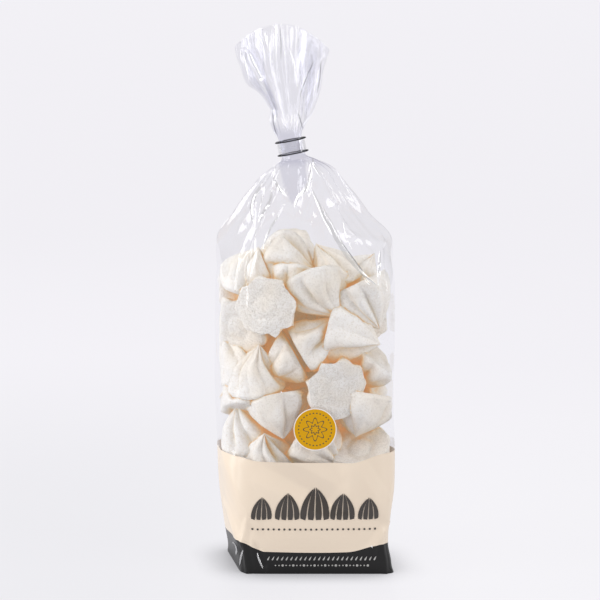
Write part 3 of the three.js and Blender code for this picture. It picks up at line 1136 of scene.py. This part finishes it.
def inside_film(place, size):
    """The nearest places where balls of these sizes are inside the film."""
    z = np.clip(place[:, 2], size + FLOOR_GAP, HEAP_TOP - size)
    section = section_at(z + 0.8 * size * rise(z, 140, 165))
    room_x = np.maximum(section.half_width - size - WALL_GAP, LEAST_ROOM)
    room_y = np.maximum(section.half_depth - size - WALL_GAP, LEAST_ROOM)
    x = place[:, 0] - section.x + section.skew * place[:, 1]
    y = place[:, 1]
    to_front = np.abs(y) / room_y
    to_side = np.maximum(0, np.abs(x) / room_x + (1 - section.panel) * to_front)
    reach = (to_front**section.sharp + to_side**section.sharp) ** (1 / section.sharp)
    shrink = 1 / np.maximum(reach, 1)
    new_y = y * shrink
    return np.stack([x * shrink + section.x - section.skew * new_y, new_y, z], axis=-1)


def pressed_inside(points):
    """The points moved straight in towards the middle of the bag where they would stick out of its film."""
    x, y, z = points.T
    z = np.maximum(z, FLOOR_GAP)
    section = section_at(z)
    across = x - section.x + section.skew * y
    crowded = np.arctan2(y / section.half_depth, across / section.half_width)
    on_film = bag_points(crowded - CORNER_CROWDING * np.sin(4 * crowded), z)
    room = np.hypot(on_film[:, 0] - section.x, on_film[:, 1]) - WALL_GAP
    share = np.minimum(1, room / np.maximum(np.hypot(x - section.x, y), 0.1))
    return np.stack([section.x + (x - section.x) * share, y * share, z], axis=-1)


shapes = [random_shape(rng, kiss.width) for kiss in KISSES]
turns = [turned_to(kiss.peak, rng.uniform(0, math.tau)) for kiss in KISSES]
models = [ball_model(shape, turn) for shape, turn in zip(shapes, turns)]
middles = pushed_apart(KISSES, [m[0] for m in models], [m[1] for m in models])
moved = np.linalg.norm(middles - np.array([kiss.middle for kiss in KISSES]), axis=1)
print(f"moved by {moved[:len(FRONT)].mean():.1f} mm in front and {moved[len(FRONT):].mean():.1f} mm behind")

# %% [markdown]
# ## Shade in the gaps
# Light that bounces between the meringues picks up their cream colour over and over, so the gaps glow a
# warm tan while the open faces stay white. A renderer gives up on such paths after a few bounces. We
# measure instead how open each point is, with short rays sent out round its normal, and keep the share
# that got away as an attribute which the material turns into warmth.

# %% Join the meringues and measure how open they are
POROUS = "porous"
OPEN = "open"
RAYS = 14
RAY_LENGTH = 0.022


def blank_for(kiss):
    """The stack for one meringue: the less of it is seen, the coarser."""
    if kiss in HIDDEN:
        return COARSE
    return MIDDLE if kiss in BACK else FINE


def joined_kisses(name):
    bm = bmesh.new()
    pores = bm.verts.layers.float.new(POROUS)
    for index, (kiss, shape, turn) in enumerate(zip(KISSES, shapes, turns)):
        blank = blank_for(kiss)
        points = kiss_points(blank.turn, blank.level, shape) - np.array((0, 0, MIDDLE_HEIGHT * shape.height))
        placed = points @ np.array(turn).T + middles[index]
        placed = pressed_inside(placed) * MM
        blank.mesh.vertices.foreach_set("co", placed.ravel())
        before = len(bm.verts)
        bm.from_mesh(blank.mesh)
        bm.verts.ensure_lookup_table()
        for vert, level in zip(bm.verts[before:], blank.level):
            vert[pores] = 1.0 if level <= 0 else max(0.0, 1 - level / 0.06)
    return mesh_from(bm, name)


def ray_fan():
    """Directions spread evenly over a half ball round +Z, more of them near its top."""
    fan = []
    for i in range(RAYS):
        up = math.sqrt(1 - (i + 0.5) / RAYS)
        across = i * math.pi * (3 - math.sqrt(5))
        flat = math.sqrt(1 - up * up)
        fan.append(Vector((flat * math.cos(across), flat * math.sin(across), up)))
    return fan


def openness(mesh):
    """For each vertex, the share of short rays round its normal that meet nothing."""
    tree = BVHTree.FromPolygons([v.co for v in mesh.vertices], [p.vertices for p in mesh.polygons])
    fan = ray_fan()
    shares = np.empty(len(mesh.vertices))
    up = Vector((0, 0, 1))
    for i, vert in enumerate(mesh.vertices):
        turn = up.rotation_difference(vert.normal).to_matrix()
        start = vert.co + vert.normal * 0.0003
        met = sum(tree.ray_cast(start, turn @ ray, RAY_LENGTH)[0] is not None for ray in fan)
        shares[i] = 1 - met / RAYS
    return shares


# %% Chalky white
GROOVE_SHADE = (0.90, 0.875, 0.85)
PORE = (0.78, 0.73, 0.66)
FLECK = (0.78, 0.72, 0.64)
# Painted light and shade: the tan and both glows stand in for light bounced about between the meringues.
PAINTED_BOUNCE_TAN = (0.74, 0.48, 0.23)
DEEP_GLOW = (0.19, 0.120, 0.050)
SHALLOW_GLOW = (0.07, 0.072, 0.045)


def meringue_white(paint, place, share, hole, grain):
    """Chalky white with fainter patches, pores, flecks and shaded grooves, and a painted tan of bounced light
    and shade where it is closed in.
    """
    cloudy = paint.in_range(paint.noise(place, 38.0, 3.0), 0.35, 0.65)
    white = paint.mix(cloudy, (0.925, 0.865, 0.775), (0.93, 0.91, 0.88))
    white = paint.mix(hole, white, PORE)
    white = paint.mix(paint.in_range(grain, 0.36, 0.50, 0.55, 0.0), white, FLECK)
    white = paint.mix(paint.in_range(share, 0.45, 0.90, 1.0, 0.0), white, GROOVE_SHADE, "MULTIPLY")
    return paint.mix(paint.in_range(share, 0.06, 0.58), PAINTED_BOUNCE_TAN, white)


def gap_glow(paint, share):
    """The light that has bounced about in the gaps, warm deep down and fainter near the open."""
    deep = paint.mix(paint.in_range(share, 0.0, 0.34, 1.0, 0.0), (0, 0, 0), DEEP_GLOW)
    fading_in = paint.in_range(share, 0.05, 0.30)
    fading_out = paint.in_range(share, 0.35, 0.70, 1.0, 0.0)
    shallow = paint.math("MULTIPLY", fading_in, fading_out)
    return paint.mix(shallow, deep, SHALLOW_GLOW, "ADD")


def meringue_material():
    material, paint, shader = new_material("baked_meringue")
    place = paint.place()
    share = paint.attribute(OPEN)
    cells = paint.add("TexVoronoi", Vector=place, Scale=1500.0).outputs["Distance"]
    hole = paint.in_range(cells, 0.10, 0.45, 1.0, 0.0)
    hole = paint.math("MULTIPLY", hole, paint.attribute(POROUS))
    grain = paint.noise(place, 900.0, 3.0, 0.6)
    height = paint.math("ADD", paint.math("MULTIPLY", grain, 0.7), paint.noise(place, 190.0))
    height = paint.math("SUBTRACT", height, paint.math("MULTIPLY", hole, 0.5))
    paint.feed(
        shader,
        Base_Color=meringue_white(paint, place, share, hole, grain),
        Emission_Color=gap_glow(paint, share),
        Emission_Strength=1.0,
        Roughness=0.85,
        Specular_IOR_Level=0.25,
        Normal=paint.bump(height, 0.7, 0.0012),
    )
    return material


meringues = new_object("meringues", joined_kisses("meringues"), meringue_material())
shares = openness(meringues.data)
meringues.data.attributes.new(OPEN, "FLOAT", "POINT").data.foreach_set("value", shares)
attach(meringues, "root")
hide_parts("bag")
triangles = sum(len(p.vertices) - 2 for p in meringues.data.polygons)
print(f"meringues: {triangles} triangles, on average {shares.mean():.2f} open")

# %% [markdown]
# ## Sticker and clip
# These keep their solids and only get a finish. The sticker is satin mustard paper with a flower in a
# ring of dots, and with the white edge where it was die-cut. All are found by the distance from its middle
# and the angle round it. The clip is a strip of clear plastic with two dark lacquered wires.

# %% Finish of the sticker and the clip
DIE_CUT_EDGE = (11.45, 11.6)  # millimetres from the sticker's middle between which its yellow ends
STICKER_RINGS = ((5.2, 1.3, 8), (2.3, 0.5, 8))  # radius, swing and waves of the flower's two lines
DOT_RING = 9.2
DOTS = 30
LINE = (0.22, 0.42)  # millimetres from the middle of a line between which its ink ends


def dress(node, material):
    """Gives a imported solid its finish."""
    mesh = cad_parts[node].data
    mesh.materials.clear()
    mesh.materials.append(material)


def wavy_ring(paint, from_middle, angle, radius, swing=0.0, waves=1):
    """1 on a thin closed line round the middle, radius millimetres out and swinging in and out."""
    turn = paint.math("MULTIPLY", angle, waves)
    swung = paint.math("MULTIPLY", paint.math("COSINE", turn), swing * MM)
    off = paint.math("SUBTRACT", from_middle, paint.math("ADD", swung, radius * MM))
    return paint.in_range(paint.math("ABSOLUTE", off), LINE[0] * MM, LINE[1] * MM, 1.0, 0.0)


def sticker_material():
    material, paint, shader = new_material("mustard_paper")
    place = paint.place()
    centred = paint.add("Mapping", Vector=place, Location=(STICKER_X * MM, 0, STICKER_Z * MM))
    centred.vector_type = "TEXTURE"
    axes = paint.add("SeparateXYZ", Vector=centred.outputs[0]).outputs
    squares = [paint.math("MULTIPLY", axes[name], axes[name]) for name in ("X", "Z")]
    from_middle = paint.math("SQRT", paint.math("ADD", *squares))
    angle = paint.math("ARCTAN2", axes["Z"], axes["X"])
    outer, inner = (wavy_ring(paint, from_middle, angle, *ring) for ring in STICKER_RINGS)
    beat = paint.math("COSINE", paint.math("MULTIPLY", angle, DOTS))
    dots = wavy_ring(paint, from_middle, angle, DOT_RING)
    dots = paint.math("MULTIPLY", dots, paint.in_range(beat, 0.1, 0.4))
    ink = paint.math("MAXIMUM", paint.math("MAXIMUM", outer, inner), dots)
    fibre = paint.noise(place, 1400.0)
    mustard = paint.mix(fibre, (0.63, 0.32, 0.001), (0.69, 0.36, 0.002))
    drawn = paint.mix(ink, mustard, (0.055, 0.06, 0.045))
    rim = paint.in_range(from_middle, DIE_CUT_EDGE[0] * MM, DIE_CUT_EDGE[1] * MM)
    paint.feed(
        shader,
        Base_Color=paint.mix(rim, drawn, (0.88, 0.86, 0.84)),
        Roughness=0.5,
        Specular_IOR_Level=0.2,
        Normal=paint.bump(fibre, 0.2, 0.0001),
    )
    return material


def wire_material():
    material, paint, shader = new_material("dark_wire")
    worn = paint.noise(paint.place(), 500.0)
    paint.feed(
        shader,
        Base_Color=paint.mix(worn, (0.004, 0.004, 0.005), (0.010, 0.010, 0.012)),
        Roughness=paint.in_range(worn, 0.3, 0.7, 0.35, 0.5),
        Specular_IOR_Level=0.1,
    )
    return material


dress("sticker", sticker_material())
dress("clip_strip", clear_film_material("clip_plastic", (0.95, 0.95, 0.955), 0.1))
wire = wire_material()
dress("clip_wire_lower", wire)
dress("clip_wire_upper", wire)
print("dressed the sticker, the strip and its wires")
